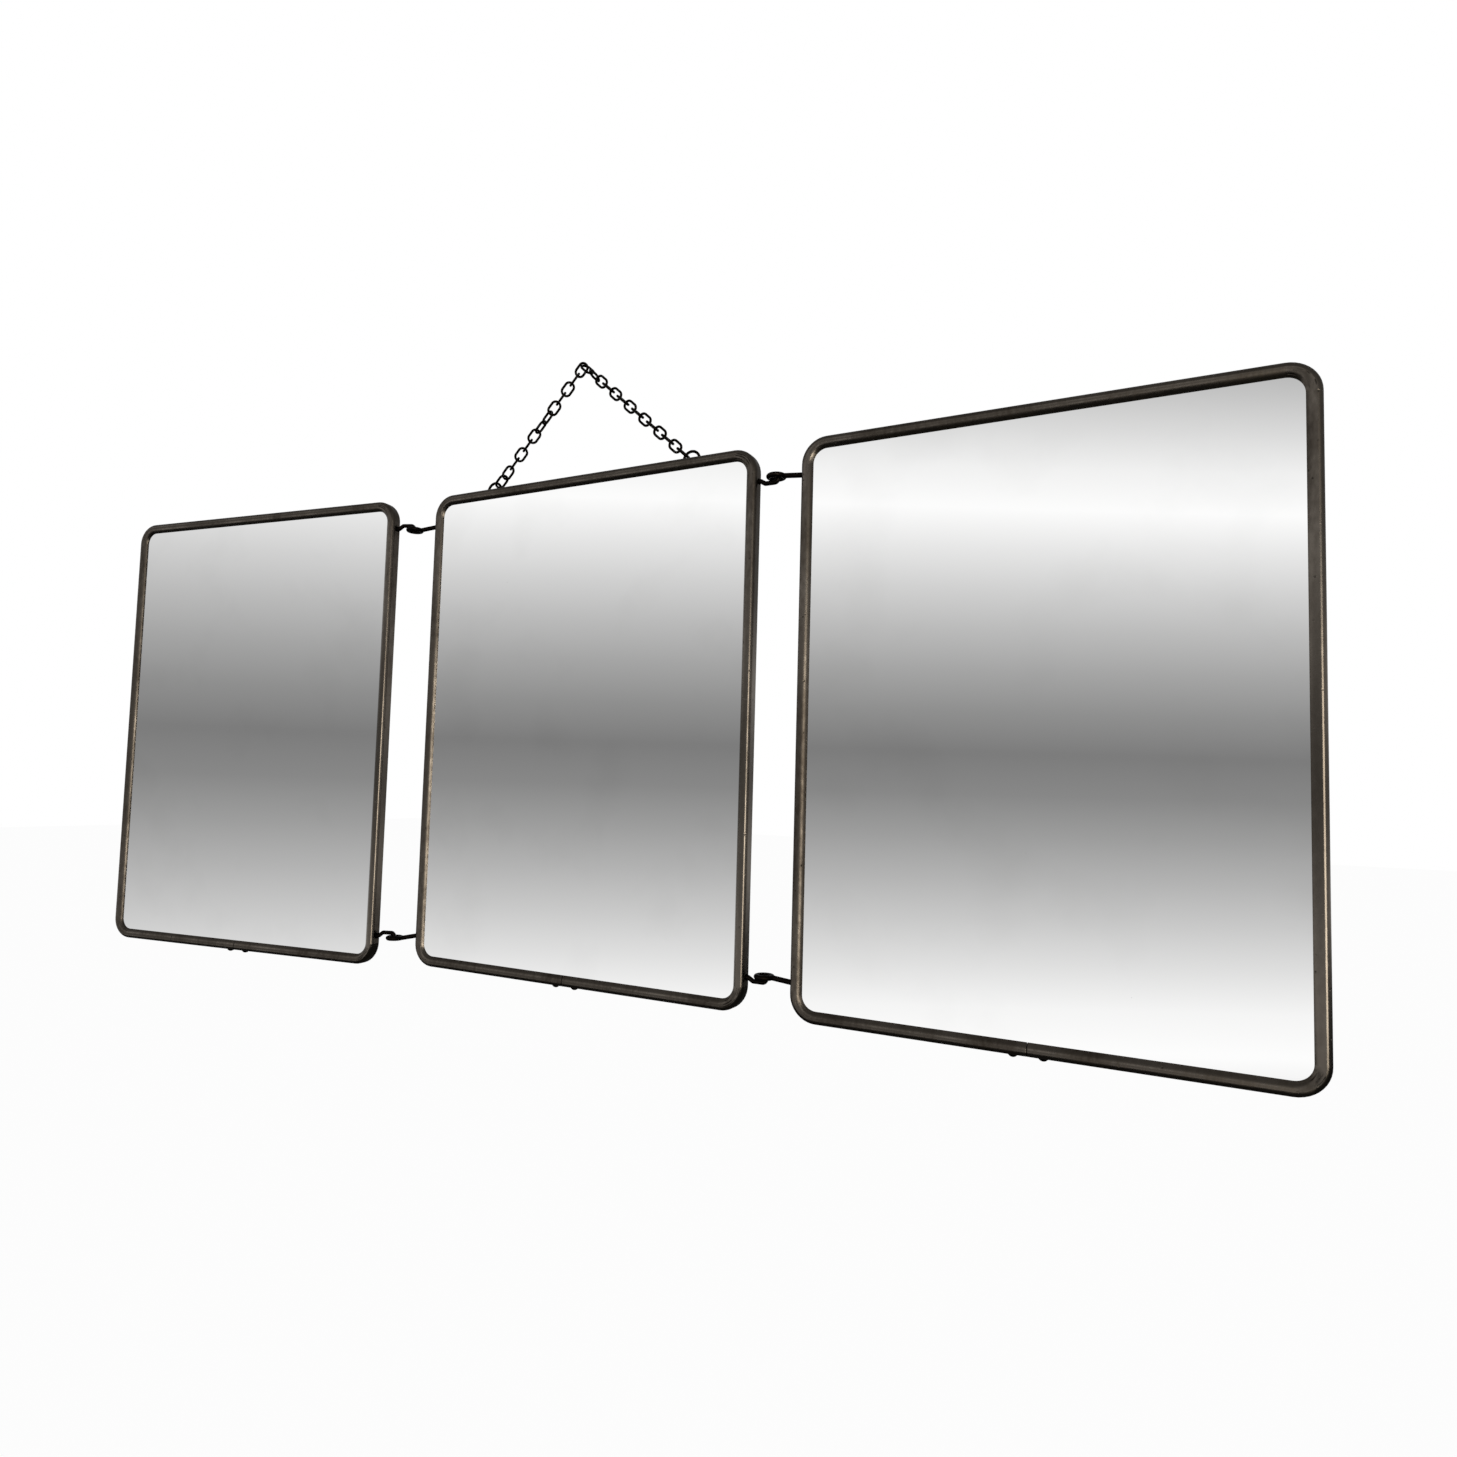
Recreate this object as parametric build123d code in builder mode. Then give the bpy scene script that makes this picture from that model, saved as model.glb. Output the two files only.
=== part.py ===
from build123d import *
import os
from math import acos, asin, cos, degrees, radians, sin, tan

# A hanging mirror of three framed glasses. The middle one hangs from a nail by a link
# chain, and each side mirror is joined to it by two wire hooks caught in two wire eyes.
# Millimetres. The origin is the middle of the nail under the chain's top link pair.
# +X is to the right of a person who looks into the mirrors, +Z is up, and the wall is on
# the +Y side. Depths are counted from the front of a frame's bead towards the wall.

os.makedirs("parts", exist_ok=True)

# Mirror frames: one strip of sheet metal, rolled to a channel and bent round the corners
mirror_width = 185.0
mirror_height = 240.0
corner_radius = 11.0
sheet = 0.5
bead_width = 5.0
bead_side_radius = 1.9
bead_lip_drop = 1.45
back_lip = 6.0
back_bend = 0.8
seam_gap = 0.2

# What the channel clamps, from the front to the back
glass_thickness = 2.6
board_thickness = 0.55
plate_thickness = 0.4
pack_play = 0.02
glass_inset = 3.0
glass_foot_inset = 1.6
glass_corner = 8.0
board_inset = 3.2

# The splice behind each bottom seam and its two rivets
splice_length = 27.0
splice_play = 0.05
rivet_spacing = 10.6
rivet_shank = 1.7
rivet_head = 3.7
rivet_head_height = 1.2
rivet_tail = 2.5
rivet_tail_height = 0.4
rivet_play = 0.05
rivet_depth = 3.35

# Hooks and eyes: bent wire, with one leg inside the frame's side bar
hook_wire = 2.0
eye_wire = 2.2
hook_inset = 1.6
eye_inset = 1.7
wire_depth = 3.6
leg_length = 4.0
leg_bend = 1.3
hook_reach = 9.0
hook_lead = 2.4
hook_climb_end = 4.6
hook_climb_bend = 1.2
hook_bend = 1.7
hook_tip = 3.9
eye_reach = 12.6
eye_ring_radius = 3.3
wire_gap = 0.3
slot_play = 0.16
link_inset = 14.7

# How the mirrors stand in the links at rest, in degrees and millimetres
left_turn = 6.7
left_link_angle = 20.6
left_drop = 1.6
left_hook_rise = 1.8
left_eye_play = 0.45
right_hook_drop = 1.3
right_eye_play = -0.9

# How far the wires swing in their slots, towards the glass side and towards the back
left_eye_forward = 22.0
left_eye_back = 0.0
left_hook_forward = 14.0
left_hook_back = 24.5
right_hook_forward = 3.0
right_hook_back = 3.0
right_eye_forward = 36.0
right_eye_back = 18.5

# Rings, and the tabs that hold them on the back of the middle frame
ring_radius = 4.15
ring_wire = 1.3
ring_span = 115.3
ring_shift = -1.4
ring_below_top = 3.1
tab_sheet = 0.5
tab_width = 15.0
tab_height = 4.8
tab_top_inset = 0.6
tab_land = 0.05
sleeve_bore = 1.2
sleeve_length = 3.2
tab_rivet_spacing = 11.2
tab_rivet_inset = 1.7
tab_rivet_shank = 1.3
tab_rivet_head = 2.4
tab_rivet_head_height = 0.7
tab_rivet_tail = 1.9
tab_rivet_tail_height = 0.3

# Chain: plain links, each turned a quarter against the one before it, apart from a few
chain_wire = 1.2
link_inside = 5.78
link_width = 5.5
link_slack = 0.06
left_links = 13
right_links = 14
link_turn = 90.0
odd_turns = {
    1: 73.0,
    2: 120.0,
    3: 120.0,
    7: 60.0,
    8: 60.0,
    9: 60.0,
    13: 72.0,
    14: 95.0,
    15: 120.0,
    16: 120.0,
}
left_top_hold = 2.08
right_top_hold = 2.88
ring_link_gap = 0.25
nail_below_links = 5.5

# Sizes that follow from the ones above
link_height = mirror_height / 2 - link_inset
bead_crown_radius = (
    (bead_width - bead_side_radius) ** 2 + bead_lip_drop**2
) / (2 * bead_lip_drop)
lip_angle = degrees(asin((bead_width - bead_side_radius) / bead_crown_radius))
glass_front = (
    bead_crown_radius
    - (bead_crown_radius - sheet) * cos(radians(lip_angle))
    + pack_play
)
board_front = glass_front + glass_thickness
plate_front = board_front + board_thickness
frame_depth = plate_front + plate_thickness + pack_play + sheet
ring_depth = frame_depth + tab_sheet + sleeve_bore + tab_land
hook_arm = hook_inset + hook_reach
eye_ring_arm = eye_inset + eye_reach
wire_stack = hook_wire / 2 + eye_wire / 2 + wire_gap
link_pitch = link_inside - link_slack

# The chain's triangle: two ring centres and the crossing above the nail
ring_hold = link_inside / 2 - ring_wire / 2 - ring_link_gap
left_run = ring_radius + ring_hold + (left_links - 1) * link_pitch + left_top_hold
right_run = ring_radius + ring_hold + (right_links - 1) * link_pitch + right_top_hold
left_rise = acos(
    (ring_span**2 + left_run**2 - right_run**2) / (2 * ring_span * left_run)
)
right_rise = asin(left_run * sin(left_rise) / right_run)
left_ring_x = -left_run * cos(left_rise)
right_ring_x = left_ring_x + ring_span
ring_z = nail_below_links - left_run * sin(left_rise)

# The middle mirror's front centre, and the planes that the three mirrors are drawn on
middle_x = left_ring_x + ring_span / 2 - ring_shift
middle_y = -ring_depth
middle_z = ring_z - ring_radius + ring_below_top - mirror_height / 2
middle_plane = Plane(origin=(middle_x, middle_y, middle_z), x_dir=(1, 0, 0), z_dir=(0, -1, 0))

# Upright axes of the links: where a wire turns in the middle mirror's bar, where hook
# and eye turn in each other, and where the other wire turns in the side mirror's bar
wire_y = middle_y + wire_depth
left_inner_axis = Vector(middle_x - mirror_width / 2 + eye_inset, wire_y, middle_z)
left_link_way = Vector(-cos(radians(left_link_angle)), -sin(radians(left_link_angle)), 0)
left_fold_axis = left_inner_axis + left_link_way * (eye_ring_arm + left_eye_play)
left_outer_axis = left_fold_axis + left_link_way * hook_arm
right_inner_axis = Vector(middle_x + mirror_width / 2 - hook_inset, wire_y, middle_z)
right_fold_axis = right_inner_axis + Vector(hook_arm, 0, 0)
right_outer_axis = right_fold_axis + Vector(eye_ring_arm + right_eye_play, 0, 0)

left_way = Vector(cos(radians(left_turn)), sin(radians(left_turn)), 0)
left_normal = Vector(sin(radians(left_turn)), -cos(radians(left_turn)), 0)
left_centre = (
    left_outer_axis
    - left_way * (mirror_width / 2 - hook_inset)
    + left_normal * wire_depth
    - Vector(0, 0, left_drop)
)
left_plane = Plane(origin=left_centre, x_dir=left_way, z_dir=left_normal)
right_centre = right_outer_axis + Vector(mirror_width / 2 - eye_inset, -wire_depth, 0)
right_plane = Plane(origin=right_centre, x_dir=(1, 0, 0), z_dir=(0, -1, 0))


def keep(piece, label):
    """Label a finished piece and write it to its own file."""
    piece.part.label = label
    export_step(piece.part, f"parts/{label}.step")


def slot_span(inset, wire, forward, back):
    """Front and back depth of the slot that lets a wire swing by the two angles."""
    ahead = inset * tan(radians(forward)) + wire / 2 / cos(radians(forward)) + slot_play
    behind = inset * tan(radians(back)) + wire / 2 / cos(radians(back)) + slot_play
    return wire_depth - ahead, wire_depth + behind


def make_frame(side, plane, slots, tab_places=()):
    """A channel round the mirror, open at its bottom seam, with its slots and holes.

    slots holds, for each slotted side bar, the side's sign, the slot's front and back
    depth and the thickness of the wire. tab_places holds where ring tabs are riveted on
    the back of the top bar.
    """
    half_w, half_h = mirror_width / 2, mirror_height / 2
    with BuildPart() as frame:
        with BuildLine(plane) as route:
            FilletPolyline(
                (seam_gap / 2, -half_h),
                (half_w, -half_h),
                (half_w, half_h),
                (-half_w, half_h),
                (-half_w, -half_h),
                (-seam_gap / 2, -half_h),
                radius=corner_radius,
            )
        start = plane.from_local_coords(Vector(seam_gap / 2, -half_h, 0))
        section_plane = Plane(origin=start, x_dir=plane.y_dir, z_dir=-plane.x_dir)
        with BuildSketch(section_plane):
            with BuildLine():
                side_c = (bead_side_radius, bead_side_radius)
                crown_c = (bead_side_radius, bead_crown_radius)
                bend_c = (back_bend, frame_depth - back_bend)
                lip = -90 + lip_angle
                outer_side = CenterArc(side_c, bead_side_radius, 180, 90)
                outer_crown = CenterArc(crown_c, bead_crown_radius, -90, lip_angle)
                inner_crown = CenterArc(crown_c, bead_crown_radius - sheet, -90, lip_angle)
                inner_side = CenterArc(side_c, bead_side_radius - sheet, 180, 90)
                Line(outer_crown @ 1, inner_crown @ 1)
                outer_bend = CenterArc(bend_c, back_bend, 90, 90)
                inner_bend = CenterArc(bend_c, back_bend - sheet, 90, 90)
                Line(outer_side @ 0, outer_bend @ 1)
                Line(inner_side @ 0, inner_bend @ 1)
                Polyline(
                    outer_bend @ 0,
                    (back_lip, frame_depth),
                    (back_lip, frame_depth - sheet),
                    inner_bend @ 0,
                )
            make_face()
        sweep(path=route.line)
        foot = Plane(
            origin=plane.from_local_coords(Vector(0, -half_h, 0)),
            x_dir=plane.x_dir,
            z_dir=-plane.y_dir,
        )
        with BuildSketch(foot):
            with Locations((-rivet_spacing / 2, -rivet_depth), (rivet_spacing / 2, -rivet_depth)):
                Circle(rivet_shank / 2 + rivet_play)
        extrude(amount=-2 * sheet, mode=Mode.SUBTRACT)
        for sign, front, back, wire in slots:
            wall = Plane(
                origin=plane.from_local_coords(Vector(sign * half_w, 0, 0)),
                x_dir=plane.z_dir,
                z_dir=plane.x_dir * sign,
            )
            with BuildSketch(wall):
                with Locations(
                    (-(front + back) / 2, link_height), (-(front + back) / 2, -link_height)
                ):
                    RectangleRounded(back - front, wire + 4 * slot_play, wire / 3)
            extrude(amount=-2 * sheet, mode=Mode.SUBTRACT)
        holes = [
            (place + step, half_h - tab_rivet_inset)
            for place in tab_places
            for step in (-tab_rivet_spacing / 2, tab_rivet_spacing / 2)
        ]
        if holes:
            with BuildSketch(plane.offset(-frame_depth)):
                with Locations(*holes):
                    Circle(tab_rivet_shank / 2 + rivet_play)
            extrude(amount=2 * sheet, mode=Mode.SUBTRACT)
    keep(frame, f"{side}_frame")


def make_pack(side, plane):
    """Glass, backing board and back plate, which the frame clamps at their edges."""
    layers = (
        ("glass", glass_front, glass_thickness, glass_inset),
        ("backing_board", board_front, board_thickness, board_inset),
        ("back_plate", plate_front, plate_thickness, board_inset),
    )
    for name, front, thickness, inset in layers:
        width = mirror_width - 2 * inset
        height = mirror_height - inset - glass_foot_inset
        with BuildPart() as layer:
            with BuildSketch(plane.offset(-front)):
                with Locations((0, (glass_foot_inset - inset) / 2)):
                    RectangleRounded(width, height, glass_corner)
            extrude(amount=-thickness)
        keep(layer, f"{side}_{name}")


def make_rivet(plane, head, head_height, shank, grip, tail, tail_height):
    """A rivet on a plane's origin: a domed head outside, a shank and a flat tail."""
    profile = Plane(origin=plane.origin, x_dir=plane.x_dir, z_dir=-plane.y_dir)
    dome_radius = (head_height**2 + (head / 2) ** 2) / (2 * head_height)
    dome_angle = degrees(asin(head / 2 / dome_radius))
    with BuildSketch(profile, mode=Mode.PRIVATE) as outline:
        with BuildLine():
            dome = CenterArc((0, head_height - dome_radius), dome_radius, 90 - dome_angle, dome_angle)
            Polyline(
                dome @ 0,
                (shank / 2, 0),
                (shank / 2, -grip),
                (tail / 2, -grip),
                (tail / 2, -grip - tail_height),
                (0, -grip - tail_height),
                dome @ 1,
            )
        make_face()
    axis = Axis(plane.origin, plane.z_dir)
    revolve(outline.sketch, axis=axis)


def make_splice(side, plane):
    """The strip inside the bottom bar that bridges the seam, and its two rivets."""
    half_h = mirror_height / 2
    strip_front = bead_side_radius + splice_play
    strip_back = frame_depth - back_bend - splice_play
    foot = Plane(
        origin=plane.from_local_coords(Vector(0, -half_h, 0)),
        x_dir=plane.x_dir,
        z_dir=-plane.y_dir,
    )
    spots = ((-rivet_spacing / 2, -rivet_depth), (rivet_spacing / 2, -rivet_depth))
    with BuildPart() as splice:
        with BuildSketch(foot.offset(-sheet)):
            with Locations((0, -(strip_front + strip_back) / 2)):
                Rectangle(splice_length, strip_back - strip_front)
            with Locations(*spots):
                Circle(rivet_shank / 2 + rivet_play, mode=Mode.SUBTRACT)
        extrude(amount=-sheet)
    keep(splice, f"{side}_splice")
    with BuildPart() as rivets:
        for x, y in spots:
            spot = Plane(
                origin=foot.from_local_coords(Vector(x, y, 0)),
                x_dir=foot.x_dir,
                z_dir=foot.z_dir,
            )
            make_rivet(
                spot,
                rivet_head,
                rivet_head_height,
                rivet_shank,
                2 * sheet,
                rivet_tail,
                rivet_tail_height,
            )
    keep(rivets, f"{side}_splice_rivets")


def make_hook(label, axis_point, way, height, rise, tip):
    """A hook: a leg in the bar, an arm along way, and a bent-up or bent-down tip.

    rise is the arm's climb from its hole to its end, and the sign of tip is the way that
    the tip points; the leg points the other way inside the bar.
    """
    pointing = 1 if tip > 0 else -1
    origin = Vector(axis_point.X, axis_point.Y, axis_point.Z + height)
    plane = Plane(origin=origin, x_dir=way, z_dir=way.cross(Vector(0, 0, 1)))
    with BuildPart() as hook:
        with BuildLine(plane) as route:
            FilletPolyline(
                (0, -pointing * leg_length),
                (0, 0),
                (hook_lead, 0),
                (hook_climb_end, rise),
                (hook_arm, rise),
                (hook_arm, rise + tip),
                radius=(leg_bend, hook_climb_bend, hook_climb_bend, hook_bend),
            )
        with BuildSketch(Plane(origin=route.line @ 0, z_dir=route.line % 0)):
            Circle(hook_wire / 2)
        sweep(path=route.line)
        fillet(hook.faces().sort_by(Axis.Z)[-1 if pointing > 0 else 0].edges(), hook_wire / 3)
    keep(hook, label)


def make_eye(label, axis_point, way, height, rise, leg_sign):
    """An eye: a leg in the bar, a neck along way, and a flat-lying ring at its end."""
    origin = Vector(axis_point.X, axis_point.Y, axis_point.Z + height)
    plane = Plane(origin=origin, x_dir=way, z_dir=way.cross(Vector(0, 0, 1)))
    ring_centre = origin + way * eye_ring_arm + Vector(0, 0, rise)
    with BuildPart() as eye:
        with BuildLine(plane) as route:
            FilletPolyline(
                (0, leg_sign * leg_length),
                (0, 0),
                (eye_ring_arm - eye_ring_radius, rise),
                radius=(leg_bend,),
            )
        with BuildSketch(Plane(origin=route.line @ 0, z_dir=route.line % 0)):
            Circle(eye_wire / 2)
        sweep(path=route.line)
        with Locations(ring_centre):
            Torus(eye_ring_radius, eye_wire / 2)
    keep(eye, label)


def make_ring(label, x):
    """A hanging ring, which stands in the plane of the chain."""
    with BuildPart(Plane(origin=(x, 0, ring_z), x_dir=(1, 0, 0), z_dir=(0, -1, 0))) as ring:
        Torus(ring_radius, ring_wire / 2)
    keep(ring, label)


def make_tab(label, x):
    """A tab on the back lip, with a rolled sleeve round the bottom of its ring."""
    back_y = middle_y + frame_depth
    top_z = middle_z + mirror_height / 2
    sleeve_z = top_z - ring_below_top
    middle = top_z - tab_top_inset - tab_height / 2
    rivet_z = top_z - tab_rivet_inset
    spots = ((-tab_rivet_spacing / 2, rivet_z - middle), (tab_rivet_spacing / 2, rivet_z - middle))
    with BuildPart() as tab:
        with BuildSketch(Plane(origin=(x, back_y, middle), x_dir=(-1, 0, 0), z_dir=(0, 1, 0))):
            RectangleRounded(tab_width, tab_height, tab_sheet)
            with Locations(*spots):
                Circle(tab_rivet_shank / 2 + rivet_play, mode=Mode.SUBTRACT)
        extrude(amount=tab_sheet)
        with BuildSketch(Plane(origin=(x, 0, sleeve_z), x_dir=(0, 1, 0), z_dir=(1, 0, 0))):
            Circle(sleeve_bore + tab_sheet)
        extrude(amount=sleeve_length / 2, both=True)
        with BuildSketch(Plane(origin=(x, 0, sleeve_z), x_dir=(0, 1, 0), z_dir=(1, 0, 0))):
            Circle(sleeve_bore)
        extrude(amount=sleeve_length, both=True, mode=Mode.SUBTRACT)
    keep(tab, label)


def make_tab_rivets():
    """The four small rivets that hold both tabs on the frame's back lip."""
    head_y = middle_y + frame_depth + tab_sheet
    rivet_z = middle_z + mirror_height / 2 - tab_rivet_inset
    with BuildPart() as rivets:
        for x in (left_ring_x, right_ring_x):
            for step in (-tab_rivet_spacing / 2, tab_rivet_spacing / 2):
                make_rivet(
                    Plane(origin=(x + step, head_y, rivet_z), x_dir=(-1, 0, 0), z_dir=(0, 1, 0)),
                    tab_rivet_head,
                    tab_rivet_head_height,
                    tab_rivet_shank,
                    tab_sheet + sheet,
                    tab_rivet_tail,
                    tab_rivet_tail_height,
                )
    keep(rivets, "ring_tab_rivets")


def make_link(label, centre, way, turn):
    """One chain link, its length along way, turned about its length."""
    face = Vector(0, -1, 0).rotate(Axis((0, 0, 0), way), turn)
    plane = Plane(origin=centre, x_dir=way, z_dir=face)
    bend = (link_width - chain_wire) / 2
    half = (link_inside + 2 * chain_wire - link_width) / 2
    with BuildPart() as link:
        with BuildLine(plane) as route:
            Line((-half, bend), (half, bend))
            ThreePointArc((half, bend), (half + bend, 0), (half, -bend))
            Line((half, -bend), (-half, -bend))
            ThreePointArc((-half, -bend), (-half - bend, 0), (-half, bend))
        with BuildSketch(Plane(origin=route.line @ 0, z_dir=way)):
            Circle(chain_wire / 2)
        sweep(path=route.line)
    keep(link, label)


def make_chain():
    """Both runs of the chain, numbered from the left ring over the nail to the right."""
    left_dir = Vector(cos(left_rise), 0, sin(left_rise))
    right_dir = Vector(cos(right_rise), 0, -sin(right_rise))
    crossing = Vector(0, 0, nail_below_links)
    turn = 0.0
    for number in range(1, left_links + right_links + 1):
        turn += odd_turns.get(number, link_turn)
        if number <= left_links:
            way = left_dir
            step = (number - left_links) * link_pitch - left_top_hold
        else:
            way = right_dir
            step = (number - left_links - 1) * link_pitch + right_top_hold
        make_link(f"chain_link_{number:02d}", crossing + way * step, way, turn)


def main():
    """Make every piece of the hanging mirror."""
    eye_slot = slot_span(eye_inset, eye_wire, left_eye_forward, left_eye_back)
    left_slot = slot_span(hook_inset, hook_wire, left_hook_forward, left_hook_back)
    hook_slot = slot_span(hook_inset, hook_wire, right_hook_forward, right_hook_back)
    right_slot = slot_span(eye_inset, eye_wire, right_eye_forward, right_eye_back)
    make_frame("left", left_plane, [(1, *left_slot, hook_wire)])
    make_frame(
        "middle",
        middle_plane,
        [(-1, *eye_slot, eye_wire), (1, *hook_slot, hook_wire)],
        (left_ring_x - middle_x, right_ring_x - middle_x),
    )
    make_frame("right", right_plane, [(-1, *right_slot, eye_wire)])
    for side, plane in (("left", left_plane), ("middle", middle_plane), ("right", right_plane)):
        make_pack(side, plane)
        make_splice(side, plane)

    left_eye_rise = left_hook_rise - left_drop - wire_stack
    right_eye_rise = wire_stack - right_hook_drop
    outward = Vector(1, 0, 0)
    for name, height in (("upper", link_height), ("lower", -link_height)):
        make_eye(f"left_{name}_eye", left_inner_axis, left_link_way, height, left_eye_rise, -1)
        make_hook(
            f"left_{name}_hook",
            left_outer_axis,
            -left_link_way,
            height - left_drop,
            left_hook_rise,
            -hook_tip,
        )
        make_hook(
            f"right_{name}_hook", right_inner_axis, outward, height, -right_hook_drop, hook_tip
        )
        make_eye(f"right_{name}_eye", right_outer_axis, -outward, height, right_eye_rise, 1)

    make_ring("left_ring", left_ring_x)
    make_ring("right_ring", right_ring_x)
    make_tab("left_ring_tab", left_ring_x)
    make_tab("right_ring_tab", right_ring_x)
    make_tab_rivets()
    make_chain()


main()
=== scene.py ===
import logging
from dataclasses import dataclass, field
from enum import Enum
from math import cos, pi, radians, sin

import bmesh
import bpy
from mathutils import Matrix, Vector


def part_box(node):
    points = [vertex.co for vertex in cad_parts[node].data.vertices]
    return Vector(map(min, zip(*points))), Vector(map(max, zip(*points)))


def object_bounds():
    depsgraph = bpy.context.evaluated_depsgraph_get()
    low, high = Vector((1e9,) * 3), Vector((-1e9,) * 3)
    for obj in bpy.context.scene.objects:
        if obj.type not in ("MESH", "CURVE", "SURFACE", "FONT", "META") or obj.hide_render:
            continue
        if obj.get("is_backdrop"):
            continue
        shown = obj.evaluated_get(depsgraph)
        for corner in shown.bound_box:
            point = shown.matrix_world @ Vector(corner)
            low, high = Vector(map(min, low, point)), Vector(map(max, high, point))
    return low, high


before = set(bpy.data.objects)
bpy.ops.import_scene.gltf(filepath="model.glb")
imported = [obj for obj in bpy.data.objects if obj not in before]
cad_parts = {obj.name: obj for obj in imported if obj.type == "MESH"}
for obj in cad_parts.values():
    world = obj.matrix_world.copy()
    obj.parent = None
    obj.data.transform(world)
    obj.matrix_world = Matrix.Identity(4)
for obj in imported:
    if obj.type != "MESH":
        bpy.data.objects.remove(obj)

log = logging.getLogger("triptych_mirror")

Colour = tuple[float, float, float]
Place = tuple[float, float, float]
Gate = tuple[float, float]
MM = 0.001

# The left mirror's turn about the upright, and the nick's place along its bottom bar.
LEFT_TURN_DEGREES = 6.7
LEFT_NICK = -46.5 * MM


def grey(value: float) -> float:
    """Linear light of an sRGB grey between 0 and 255."""
    share = value / 255
    return share / 12.92 if share <= 0.04045 else ((share + 0.055) / 1.055) ** 2.4


def paint(red: float, green: float, blue: float) -> Colour:
    """Linear colour of three sRGB values between 0 and 255."""
    return (grey(red), grey(green), grey(blue))


class Socket:
    """A shader value that adds its Math nodes when it is used in an expression."""

    def __init__(self, shader: "Shader", link: bpy.types.NodeSocket | None) -> None:
        """Hold one output.

        Args:
            shader: The shader that the output belongs to.
            link: The node output that this value stands for; an end node has none.
        """
        self.shader = shader
        self.link = link

    def _math(self, operation: str, first: object, second: object) -> "Socket":
        """Add a Math node.

        Args:
            operation: The Math node's operation.
            first: Its first value or link.
            second: Its second value or link.

        Returns:
            The node's result.
        """
        return self.shader.node("ShaderNodeMath", {"operation": operation}, {0: first, 1: second})

    def __add__(self, other: object) -> "Socket":
        """This value plus another."""
        return self._math("ADD", self, other)

    __radd__ = __add__

    def __sub__(self, other: object) -> "Socket":
        """This value less another."""
        return self._math("SUBTRACT", self, other)

    def __rsub__(self, other: object) -> "Socket":
        """Another value less this one."""
        return self._math("SUBTRACT", other, self)

    def __mul__(self, other: object) -> "Socket":
        """This value times another."""
        return self._math("MULTIPLY", self, other)

    __rmul__ = __mul__

    def __truediv__(self, other: object) -> "Socket":
        """This value divided by another."""
        return self._math("DIVIDE", self, other)

    def __abs__(self) -> "Socket":
        """This value without its sign."""
        return self._math("ABSOLUTE", self, 0.0)

    def __pow__(self, other: object) -> "Socket":
        """This value raised to a power."""
        return self._math("POWER", self, other)

    def at_least(self, least: float) -> "Socket":
        """This value, or the least one where it is lower."""
        return self._math("MAXIMUM", self, least)


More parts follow.
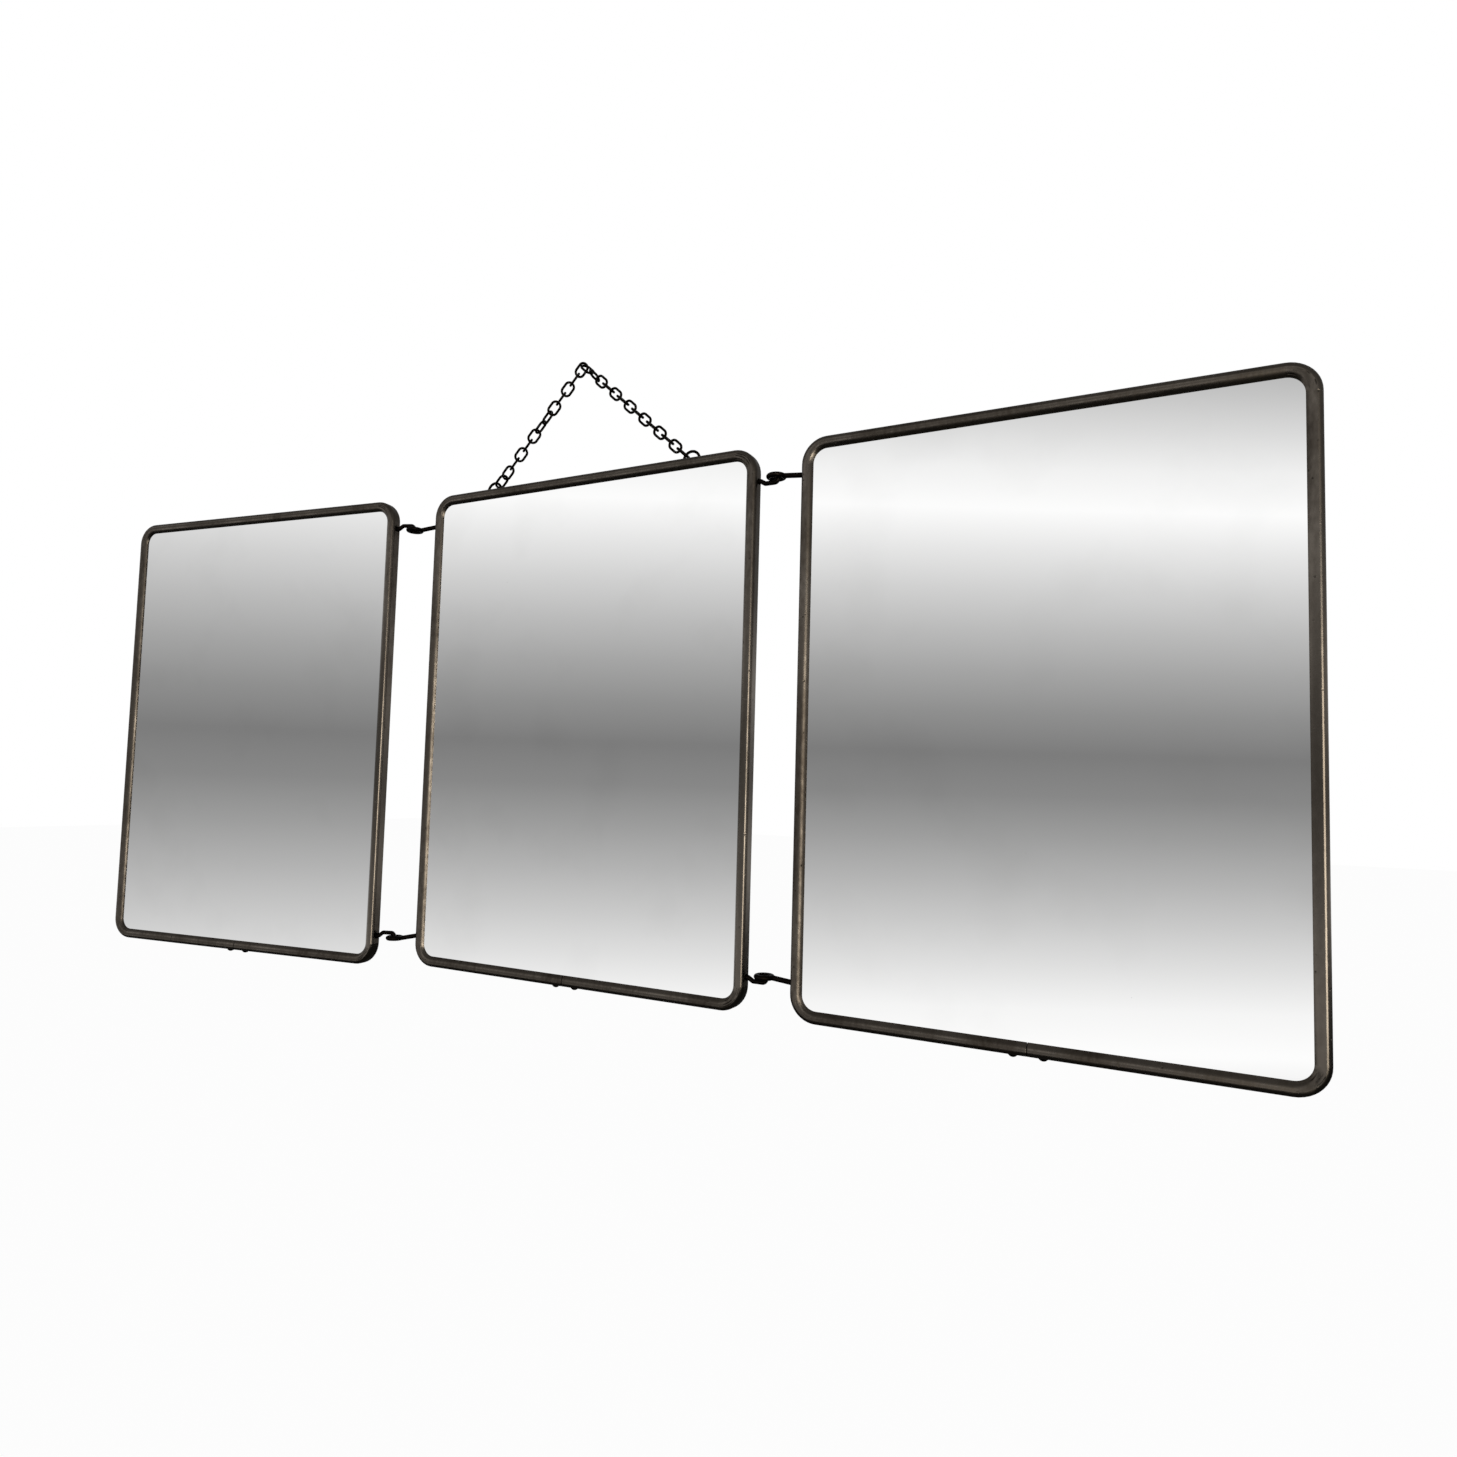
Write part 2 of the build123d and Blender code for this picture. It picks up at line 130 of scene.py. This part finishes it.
class Shader:
    """One material or world tree, and the only place where its nodes are added."""

    def __init__(self, tree: bpy.types.NodeTree) -> None:
        """Empty the tree.

        Args:
            tree: The node tree to fill.
        """
        self.tree = tree
        tree.nodes.clear()

    def node(
        self,
        kind: str,
        settings: dict[str, object] | None = None,
        inputs: dict[object, object] | None = None,
        output: object = 0,
    ) -> Socket:
        """Add a node, set it up and feed it.

        Args:
            kind: The node's type.
            settings: Its settings; "stops" fills a colour ramp.
            inputs: Values or links for its sockets, by name or number.
            output: The output that the returned value stands for.

        Returns:
            The chosen output, ready for more expressions.
        """
        made = self.tree.nodes.new(kind)
        for name, value in (settings or {}).items():
            if name == "stops":
                self._fill_ramp(made.color_ramp, value)
            else:
                setattr(made, name, value)
        for name, value in (inputs or {}).items():
            if isinstance(value, Socket):
                self.tree.links.new(value.link, made.inputs[name])
            else:
                made.inputs[name].default_value = value
        if not made.outputs:
            return Socket(self, None)
        return Socket(self, made.outputs[output])

    def _fill_ramp(self, ramp: bpy.types.ColorRamp, stops: list[tuple[float, object]]) -> None:
        """Set a ramp's stops.

        Args:
            ramp: The ramp to fill.
            stops: Places and greys or colours, in rising order.
        """
        while len(ramp.elements) > 1:
            ramp.elements.remove(ramp.elements[-1])
        for index, (place, value) in enumerate(stops):
            element = ramp.elements[0] if index == 0 else ramp.elements.new(place)
            element.position = place
            colour = (value, value, value) if isinstance(value, float) else value
            element.color = (*colour, 1.0)

    def ramp(self, value: Socket, stops: list[tuple[float, object]]) -> Socket:
        """A colour ramp over a value."""
        return self.node("ShaderNodeValToRGB", {"stops": stops}, {0: value})

    def rise(self, value: Socket, low: float, high: float) -> Socket:
        """A smooth rise from 0 to 1.

        Args:
            value: The value that rises.
            low: Where the result leaves 0.
            high: Where the result reaches 1.

        Returns:
            The rise, held at 0 and 1 outside the two places.
        """
        inputs = {"Value": value, "From Min": low, "From Max": high}
        return self.node("ShaderNodeMapRange", {"interpolation_type": "SMOOTHSTEP"}, inputs)

    def line(self, value: Socket, middle: float, half: float) -> Socket:
        """1 where a value is near a middle one, and 0 further off than half."""
        return 1 - self.rise(abs(value - middle), half * 0.4, half)

    def mix(self, factor: object, first: object, second: object) -> Socket:
        """A mix of two colours.

        Args:
            factor: How much of the second colour shows.
            first: The colour at a factor of 0.
            second: The colour at a factor of 1.

        Returns:
            The mixed colour.
        """
        colours = [(*c, 1.0) if isinstance(c, tuple) else c for c in (first, second)]
        inputs = {"Factor": factor, 6: colours[0], 7: colours[1]}
        return self.node("ShaderNodeMix", {"data_type": "RGBA"}, inputs, 2)

    def noise(self, scale: float, detail: float = 3.0, stretch: Colour = (1, 1, 1)) -> Socket:
        """Noise over the object's own place.

        Args:
            scale: Cells to the metre.
            detail: How many finer octaves are added.
            stretch: How much each axis is scaled first.

        Returns:
            The noise, about 0.5 on average.
        """
        place = self.node("ShaderNodeTexCoord", output="Object")
        moved = self.node("ShaderNodeMapping", inputs={"Vector": place, "Scale": stretch})
        inputs = {"Vector": moved, "Scale": scale, "Detail": detail}
        return self.node("ShaderNodeTexNoise", inputs=inputs)

    def spots(self, scale: float, reach: float) -> Socket:
        """Round spots at scattered places, 1 in their middles.

        Args:
            scale: Cells to the metre.
            reach: A spot's radius as a share of its cell.

        Returns:
            The spots' mask.
        """
        place = self.node("ShaderNodeTexCoord", output="Object")
        near = self.node("ShaderNodeTexVoronoi", inputs={"Vector": place, "Scale": scale})
        return self.ramp(near, [(0.0, 1.0), (reach, 0.0)])

    def bump(self, height: Socket, distance: float, strength: float = 1.0) -> Socket:
        """A bump from a height, its distance in metres."""
        inputs = {"Height": height, "Distance": distance, "Strength": strength}
        return self.node("ShaderNodeBump", inputs=inputs)

    def finish(self, inputs: dict[str, object]) -> None:
        """End the tree with one Principled shader.

        Args:
            inputs: Values or links of the shader's sockets.
        """
        surface = self.node("ShaderNodeBsdfPrincipled", inputs=inputs)
        self.node("ShaderNodeOutputMaterial", inputs={"Surface": surface})


def new_material(name: str) -> tuple[bpy.types.Material, Shader]:
    """Make a material with an empty tree.

    Args:
        name: The material's name.

    Returns:
        The material and its shader.
    """
    material = bpy.data.materials.new(name)
    material.use_nodes = True
    return material, Shader(material.node_tree)


@dataclass(frozen=True)
class AgedMetal:
    """Bare or plated metal that has darkened, spotted and worn."""

    name: str
    clean: Colour
    tarnished: Colour
    # The dark colour of pits and cuts, also used as painted shade in the frames' creases.
    pit_and_shade_colour: Colour
    smooth: float = 0.22
    rough: float = 0.5
    patch_scale: float = 60.0
    pit_scale: float = 420.0
    pit_reach: float = 0.16
    grain_depth: float = 0.00006
    metal: float = 1.0
    drawn: Colour = (1.0, 1.0, 1.0)
    patch_detail: float = 6.0
    fine_ratio: float = 11.0
    fine_share: float = 0.35
    tarnish_gate: Gate = (0.36, 0.66)
    pit_group_ratio: float = 2.3
    pit_gate: Gate = (0.44, 0.54)
    mark_and_shade_cover: float = 0.85
    pit_rough: float = 0.25
    pit_depth: float = 1.5
    # Painted highlight: its smoothness, and how far it lightens the colour towards the clean one.
    highlight_smooth: float = 0.2
    highlight_lighten: float = 0.5

    def wear_and_painted_light(self, shader: Shader) -> tuple[Socket | None, Socket | None]:
        """Where a highlight is painted on the metal, and where it is marked dark or painted with shade:
        nowhere here.
        """
        return None, None

    def build(self) -> bpy.types.Material:
        """Build the material.

        Returns:
            Patches of tarnish, fine mottling, dark pits, and the piece's own marks, with any painted
            highlight and painted crease shade.
        """
        material, shader = new_material(self.name)
        patches = shader.noise(self.patch_scale, self.patch_detail, self.drawn)
        fine = shader.noise(self.patch_scale * self.fine_ratio, 4.0, self.drawn)
        pits = shader.spots(self.pit_scale, self.pit_reach)
        groups = shader.rise(shader.noise(self.patch_scale * self.pit_group_ratio, 2.0), *self.pit_gate)
        # The first mask is a painted highlight; the second holds cuts and painted crease shade.
        painted_highlight, cuts_and_crease_shade = self.wear_and_painted_light(shader)
        marks_and_crease_shade = pits * groups if cuts_and_crease_shade is None else pits * groups + cuts_and_crease_shade

        mottle = patches * (1 - self.fine_share) + fine * self.fine_share
        clean_until, tarnished_from = self.tarnish_gate
        tarnish = shader.ramp(mottle, [(clean_until, 0.0), (tarnished_from, 1.0)])
        base = shader.mix(tarnish, self.clean, self.tarnished)
        # Pits and cuts darken here, and the painted shade in the creases too.
        base = shader.mix(marks_and_crease_shade * self.mark_and_shade_cover, base, self.pit_and_shade_colour)
        worn = tarnish * (1 - self.pit_rough) + marks_and_crease_shade * self.pit_rough
        roughness = self.smooth + (self.rough - self.smooth) * worn
        # Painted highlight: the colour turns lighter towards the clean metal where the highlight mask is.
        if painted_highlight is not None:
            roughness = roughness * (1 - painted_highlight) + painted_highlight * self.highlight_smooth
            base = shader.mix(painted_highlight * self.highlight_lighten, base, self.clean)
        height = fine * 0.5 + patches * 0.5 - marks_and_crease_shade * self.pit_depth
        shader.finish({
            "Base Color": base,
            "Metallic": self.metal,
            "Roughness": roughness,
            "Normal": shader.bump(height, self.grain_depth),
        })
        return material


@dataclass(frozen=True)
class BentStripMetal(AgedMetal):
    """A frame's plate: a painted highlight on one side bar, painted shade in the creases at the bends,
    dark at the seam.
    """

    centre: Place = (0.0, 0.0, 0.0)
    turn: float = 0.0
    half_width: float = 92.5 * MM
    half_height: float = 120 * MM
    bend: float = 11 * MM
    bar: float = 5 * MM
    nick: float | None = None
    # Layout of the painted highlight on the right bar.
    highlight_soften: float = 0.6 * MM
    highlight_end: float = 0.75
    highlight_streak_scale: float = 90.0
    highlight_streak_stretch: Place = (1.0, 1.0, 0.15)
    highlight_streak_gate: Gate = (0.3, 0.5)
    corner_soften: float = 1.5 * MM
    # Layout of the painted shade along the corner creases.
    crease_radii: tuple[float, ...] = (6.9 * MM, 8.1 * MM, 9 * MM)
    crease_width: float = 0.22 * MM
    crease_wobble: float = 1.6 * MM
    wobble_scale: float = 120.0
    break_scale: float = 170.0
    break_gate: Gate = (0.42, 0.55)
    left_crease_shade_share: float = 0.35
    cut_width: float = 0.35 * MM

    def wear_and_painted_light(self, shader: Shader) -> tuple[Socket | None, Socket | None]:
        """Lay the painted highlight, the painted crease shade and the cuts out in the frame's own plane.

        Args:
            shader: The shader that is being built.

        Returns:
            The painted highlight's mask, and the mask of the cuts and the painted crease shade.
        """
        place = shader.node("ShaderNodeTexCoord", output="Object")
        turned = {"Vector": place, "Location": self.centre, "Rotation": (0.0, 0.0, radians(self.turn))}
        own = shader.node("ShaderNodeMapping", {"vector_type": "TEXTURE"}, turned)
        across = shader.node("ShaderNodeSeparateXYZ", inputs={"Vector": own}, output="X")
        up = shader.node("ShaderNodeSeparateXYZ", inputs={"Vector": own}, output="Z")

        # Painted highlight: lighter streaks on the right bar, strongest in its lower part.
        edge = self.half_width - self.bar
        painted_highlight = shader.rise(across, edge - self.highlight_soften, edge + self.highlight_soften)
        painted_highlight = painted_highlight * (1 - shader.rise(up, 0.0, self.half_height * self.highlight_end))
        highlight_streaks = shader.noise(self.highlight_streak_scale, 3.0, self.highlight_streak_stretch)
        painted_highlight = painted_highlight * shader.rise(highlight_streaks, *self.highlight_streak_gate)

        # Painted shade: broken dark lines along the corner creases, heavier towards the right.
        past_side = abs(across) - (self.half_width - self.bend)
        past_end = abs(up) - (self.half_height - self.bend)
        in_corner = [shader.rise(past, 0.0, self.corner_soften) for past in (past_side, past_end)]
        corner = in_corner[0] * in_corner[1]
        wobble = (shader.noise(self.wobble_scale, 2.0) - 0.5) * self.crease_wobble
        radius = (past_side * past_side + past_end * past_end) ** 0.5 + wobble
        crease_shade_lines = sum(shader.line(radius, place, self.crease_width) for place in self.crease_radii)
        broken = shader.rise(shader.noise(self.break_scale, 2.0), *self.break_gate)
        right = self.left_crease_shade_share + shader.rise(across, 0.0, self.half_width) * (1 - self.left_crease_shade_share)

        foot = 1 - shader.rise(up, self.bar - self.half_height, 2 * self.bar - self.half_height)
        cuts = shader.line(across, 0.0, self.cut_width)
        if self.nick is not None:
            cuts = cuts + shader.line(across, self.nick, self.cut_width)
        return painted_highlight, crease_shade_lines * corner * broken * right + cuts * foot


@dataclass(frozen=True)
class MirrorGlass:
    """Silvered glass with faint uneven dulling and dust specks."""

    name: str = "silvered_glass"
    bright: Colour = (0.985, 0.985, 0.982)
    dulled: Colour = (0.93, 0.93, 0.925)
    speck: Colour = field(default_factory=lambda: paint(120, 112, 100))
    haze_scale: float = 24.0
    haze_gate: Gate = (0.52, 0.80)
    haze_rough: float = 0.012
    speck_scale: float = 150.0
    speck_reach: float = 0.035
    speck_group_scale: float = 40.0
    speck_gate: Gate = (0.60, 0.68)
    speck_cover: float = 0.5
    speck_rough: float = 0.2

    def build(self) -> bpy.types.Material:
        """Build the material.

        Returns:
            A clean mirror with the slightest uneven dulling and a few specks.
        """
        material, shader = new_material(self.name)
        clear_until, hazed_from = self.haze_gate
        haze = shader.ramp(shader.noise(self.haze_scale, 5.0), [(clear_until, 0.0), (hazed_from, 1.0)])
        bare_until, specked_from = self.speck_gate
        groups = shader.noise(self.speck_group_scale, 2.0)
        groups = shader.ramp(groups, [(bare_until, 0.0), (specked_from, 1.0)])
        specks = shader.spots(self.speck_scale, self.speck_reach) * groups
        base = shader.mix(haze, self.bright, self.dulled)
        base = shader.mix(specks * self.speck_cover, base, self.speck)
        shader.finish({
            "Base Color": base,
            "Metallic": 1.0,
            "Roughness": haze * self.haze_rough + specks * self.speck_rough,
        })
        return material


@dataclass(frozen=True)
class Card:
    """Grey-brown backing board with loose fibres."""

    name: str = "backing_card"
    pale: Colour = field(default_factory=lambda: paint(148, 128, 100))
    dark: Colour = field(default_factory=lambda: paint(112, 92, 68))
    fibre_scale: float = 900.0
    fibre_stretch: Place = (1.0, 1.0, 0.25)
    fibre_depth: float = 0.1 * MM
    patch_scale: float = 45.0
    rough: float = 0.9

    def build(self) -> bpy.types.Material:
        """Build the material.

        Returns:
            Mottled, matt and fibrous board.
        """
        material, shader = new_material(self.name)
        fibres = shader.noise(self.fibre_scale, 4.0, self.fibre_stretch)
        patches = shader.noise(self.patch_scale, 4.0)
        shader.finish({
            "Base Color": shader.mix(fibres * 0.5 + patches * 0.5, self.dark, self.pale),
            "Roughness": self.rough,
            "Normal": shader.bump(fibres, self.fibre_depth),
        })
        return material


class Finish(Enum):
    """The finishes, by the slots that they dress."""

    GLASS = "mirror_glass"
    BOARD = "backing_board"
    PLATE = "back_plate"
    SPLICE = "splice_metal"
    RIVETS = "rivets"
    TAB = "tab_metal"
    CHAIN = "chain_wire"
    RING = "ring_wire"
    HOOK = "hook_wire"


def make_finishes() -> dict[Finish, bpy.types.Material]:
    """Build each finish once.

    Returns:
        The materials by finish.
    """
    tinplate = AgedMetal(
        "tinned_sheet", paint(158, 155, 146), paint(110, 102, 88), paint(70, 52, 36),
        smooth=0.34, rough=0.62, patch_scale=22.0, pit_scale=160.0, pit_reach=0.1,
    )
    sheet = AgedMetal(
        "plain_sheet", paint(128, 121, 110), paint(82, 73, 62), paint(44, 35, 28),
        smooth=0.35, rough=0.6,
    )
    rivet = AgedMetal(
        "rivet_metal", paint(52, 46, 40), paint(30, 26, 22), paint(16, 13, 11),
        smooth=0.28, rough=0.55, patch_scale=240.0,
    )
    wire = AgedMetal(
        "oxidised_wire", paint(36, 31, 27), paint(18, 15, 13), paint(10, 8, 7),
        smooth=0.36, rough=0.62, patch_scale=210.0, pit_scale=900.0,
    )
    chain = AgedMetal(
        "oxidised_chain", paint(34, 29, 25), paint(16, 13, 11), paint(9, 7, 6),
        smooth=0.34, rough=0.6, patch_scale=260.0, pit_scale=1100.0,
    )
    built = {material.name: material.build() for material in (tinplate, sheet, rivet, wire, chain)}
    return {
        Finish.GLASS: MirrorGlass().build(),
        Finish.BOARD: Card().build(),
        Finish.PLATE: built["tinned_sheet"],
        Finish.SPLICE: built["plain_sheet"],
        Finish.RIVETS: built["rivet_metal"],
        Finish.TAB: built["plain_sheet"],
        Finish.CHAIN: built["oxidised_chain"],
        Finish.RING: built["oxidised_wire"],
        Finish.HOOK: built["oxidised_wire"],
    }


def dress(node: str, material: bpy.types.Material) -> None:
    """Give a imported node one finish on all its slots.

    Args:
        node: The node's name.
        material: Its finish.
    """
    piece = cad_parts[node]
    for place in piece.material_slots:
        place.material = material
    log.info("%s: %s", node, material.name)


@dataclass
class MirrorLeaf:
    """One framed glass with its board, plate, splice and rivets."""

    side: str
    turn: float = 0.0
    nick: float | None = None

    def frame_finish(self) -> bpy.types.Material:
        """Build the finish of this leaf's own frame, laid out from the frame's own box.

        Returns:
            The worn nickel, with a painted highlight and painted crease shade.
        """
        corners = list(zip(*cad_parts[f"{self.side}_frame"].bound_box))
        low, high = [min(values) for values in corners], [max(values) for values in corners]
        centre = tuple((a + b) / 2 for a, b in zip(low, high))
        return BentStripMetal(
            f"{self.side}_aged_nickel",
            paint(108, 101, 93),
            paint(70, 63, 56),
            paint(20, 16, 13),
            pit_scale=300.0,
            pit_reach=0.14,
            drawn=(1.0, 1.0, 0.4),
            centre=centre,
            turn=self.turn,
            half_height=(high[2] - low[2]) / 2,
            nick=self.nick,
        ).build()

    def dress(self, finishes: dict[Finish, bpy.types.Material]) -> None:
        """Dress each piece.

        Args:
            finishes: The materials by finish.
        """
        dress(f"{self.side}_frame", self.frame_finish())
        pieces = {
            "glass": Finish.GLASS,
            "backing_board": Finish.BOARD,
            "back_plate": Finish.PLATE,
            "splice": Finish.SPLICE,
            "splice_rivets": Finish.RIVETS,
        }
        for piece, finish in pieces.items():
            dress(f"{self.side}_{piece}", finishes[finish])


@dataclass
class WireLinks:
    """The bent wire hooks and eyes between two leaves."""

    side: str
    heights: tuple[str, ...] = ("upper", "lower")

    def dress(self, finishes: dict[Finish, bpy.types.Material]) -> None:
        """Dress the hooks and the eyes.

        Args:
            finishes: The materials by finish.
        """
        for height in self.heights:
            for kind in ("hook", "eye"):
                dress(f"{self.side}_{height}_{kind}", finishes[Finish.HOOK])


@dataclass
class Hanger:
    """The chain with its two rings, their tabs and the tabs' rivets."""

    links: int = 27

    def dress(self, finishes: dict[Finish, bpy.types.Material]) -> None:
        """Dress the chain and what holds it.

        Args:
            finishes: The materials by finish.
        """
        for number in range(1, self.links + 1):
            dress(f"chain_link_{number:02d}", finishes[Finish.CHAIN])
        for side in ("left", "right"):
            dress(f"{side}_ring", finishes[Finish.RING])
            dress(f"{side}_ring_tab", finishes[Finish.TAB])
        dress("ring_tab_rivets", finishes[Finish.RIVETS])


@dataclass
class Studio:
    """Floor, world, lamps and the camera."""

    focal: float = 926.9
    picture: float = 1457.0
    sensor: float = 36.0
    yaw: float = 27.26
    pitch: float = 3.66
    roll: float = -1.56
    stand: Place = (262.9, -349.7, -26.8)
    near_clip: float = 0.01
    floor_drop: float = 0.25
    floor_reach: float = 6.0
    floor_paper: float = 0.8
    shade_step: float = 0.045
    dark_level: float = 0.037
    dark_soften: float = 0.012
    dark_base: float = 117.5
    rise: float = 492.0
    fall: float = 500.0
    white: float = 255.0
    white_until: float = 0.335
    far_tone: float = 120.0
    far_level: float = 0.6
    low_from: float = 0.3
    low_fall: float = 1300.0
    low_tone: float = 50.0
    least_ahead: float = 0.35
    floor_white: float = 0.97
    strip_place: Place = (0.84, -1.07, -0.25)
    strip_size: tuple[float, float] = (0.45, 0.6)
    strip_power: float = 5.0
    strip_colour: Colour = (1.0, 0.94, 0.82)
    lamp_aim: Place = (0.0, 0.0, -0.17)

    def camera(self) -> None:
        """Set the camera at the photograph's angle, from the middle mirror's front centre."""
        low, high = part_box("middle_frame")
        centre = Vector(((low[0] + high[0]) / 2, low[1], (low[2] + high[2]) / 2))
        turn = (
            Matrix.Rotation(radians(self.yaw), 3, "Z")
            @ Matrix.Rotation(radians(self.pitch), 3, "X")
            @ Matrix.Rotation(radians(self.roll), 3, "Y")
            @ Matrix.Rotation(pi / 2, 3, "X")
        )
        data = bpy.data.cameras.new("photo_camera")
        data.sensor_width = self.sensor
        data.lens = self.focal / self.picture * self.sensor
        data.dof.use_dof = False
        data.clip_start = self.near_clip
        piece = bpy.data.objects.new("photo_camera", data)
        bpy.context.collection.objects.link(piece)
        place = centre + Vector(self.stand) * MM
        piece.matrix_world = Matrix.Translation(place) @ turn.to_4x4()
        bpy.context.scene.camera = piece

    def floor(self) -> None:
        """A plain pale floor well below the mirrors."""
        low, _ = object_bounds()
        mesh = bpy.data.meshes.new("floor")
        build = bmesh.new()
        bmesh.ops.create_grid(build, x_segments=1, y_segments=1, size=self.floor_reach)
        build.to_mesh(mesh)
        build.free()
        piece = bpy.data.objects.new("floor", mesh)
        piece.location = (0, 0, low[2] - self.floor_drop)
        bpy.context.collection.objects.link(piece)
        material, shader = new_material("pale_floor")
        shown = shader.node("ShaderNodeLightPath", output="Is Camera Ray")
        pale = (self.floor_paper, self.floor_paper, self.floor_paper, 1.0)
        paper = shader.node("ShaderNodeBsdfDiffuse", inputs={"Color": pale})
        white = shader.node("ShaderNodeEmission", inputs={"Strength": 1.0})
        both = shader.node("ShaderNodeMixShader", inputs={0: shown * self.floor_white, 1: paper, 2: white})
        shader.node("ShaderNodeOutputMaterial", inputs={"Surface": both})
        mesh.materials.append(material)
        piece.visible_glossy = False
        piece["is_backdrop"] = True

    def tone(self, level: float) -> float:
        """The room's grey at one level of view.

        Args:
            level: The slope of the direction above the horizon.

        Returns:
            An sRGB grey, darkest at the dark level and white where it has risen to it.
        """
        away = ((level - self.dark_level) ** 2 + self.dark_soften**2) ** 0.5
        rising = self.dark_base + self.rise * away
        falling = self.white - self.fall * max(level - self.white_until, 0.0)
        sinking = self.white - self.low_fall * max(-level - self.low_from, 0.0)
        far = self.far_tone if level > 0 else self.low_tone
        return max(min(rising, falling, sinking, self.white), far)

    def world(self) -> None:
        """White to the camera, and a soft upright run of greys to the mirrors and metal."""
        world = bpy.data.worlds.new("studio_world")
        bpy.context.scene.world = world
        world.use_nodes = True
        shader = Shader(world.node_tree)
        way = shader.node("ShaderNodeTexCoord", output="Generated")
        up = shader.node("ShaderNodeSeparateXYZ", inputs={"Vector": way}, output="Z")
        facing = (-sin(radians(self.yaw)), -cos(radians(self.yaw)), 0.0)
        ahead = shader.node(
            "ShaderNodeVectorMath", {"operation": "DOT_PRODUCT"}, {0: way, 1: facing}, "Value"
        )
        level = up / ahead.at_least(self.least_ahead)
        steps = int(self.far_level / self.shade_step)
        levels = [step * self.shade_step for step in range(-steps, steps + 1)]
        stops = [(0.5 + value / self.far_level / 2, grey(self.tone(value))) for value in levels]
        shades = shader.ramp(level / (2 * self.far_level) + 0.5, stops)
        room = shader.node("ShaderNodeBackground", inputs={"Color": shades, "Strength": 1.0})
        white = shader.node("ShaderNodeBackground", inputs={"Color": (1, 1, 1, 1), "Strength": 1.0})
        seen = shader.node("ShaderNodeLightPath", output="Is Camera Ray")
        both = shader.node("ShaderNodeMixShader", inputs={0: seen, 1: room, 2: white})
        shader.node("ShaderNodeOutputWorld", inputs={"Surface": both})

    def warm_strip(self) -> None:
        """Hang the one soft lamp, pointed at the middle mirror."""
        data = bpy.data.lights.new("warm_strip", "AREA")
        data.shape = "RECTANGLE"
        data.size, data.size_y = self.strip_size
        data.energy = self.strip_power
        data.color = self.strip_colour
        piece = bpy.data.objects.new("warm_strip", data)
        piece.location = self.strip_place
        aim = Vector(self.lamp_aim) - Vector(self.strip_place)
        piece.rotation_euler = aim.to_track_quat("-Z", "Y").to_euler()
        bpy.context.collection.objects.link(piece)

    def build(self) -> None:
        """Set up the whole studio."""
        self.camera()
        self.floor()
        self.world()
        self.warm_strip()
        bpy.context.scene.view_settings.view_transform = "Standard"


def main() -> None:
    """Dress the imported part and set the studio."""
    logging.basicConfig(level=logging.INFO, format="%(name)s: %(message)s")
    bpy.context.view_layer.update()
    finishes = make_finishes()
    left = MirrorLeaf("left", turn=LEFT_TURN_DEGREES, nick=LEFT_NICK)
    for leaf in (left, MirrorLeaf("middle"), MirrorLeaf("right")):
        leaf.dress(finishes)
    for side in ("left", "right"):
        WireLinks(side).dress(finishes)
    Hanger().dress(finishes)
    Studio().build()


if __name__ == "__main__":
    main()
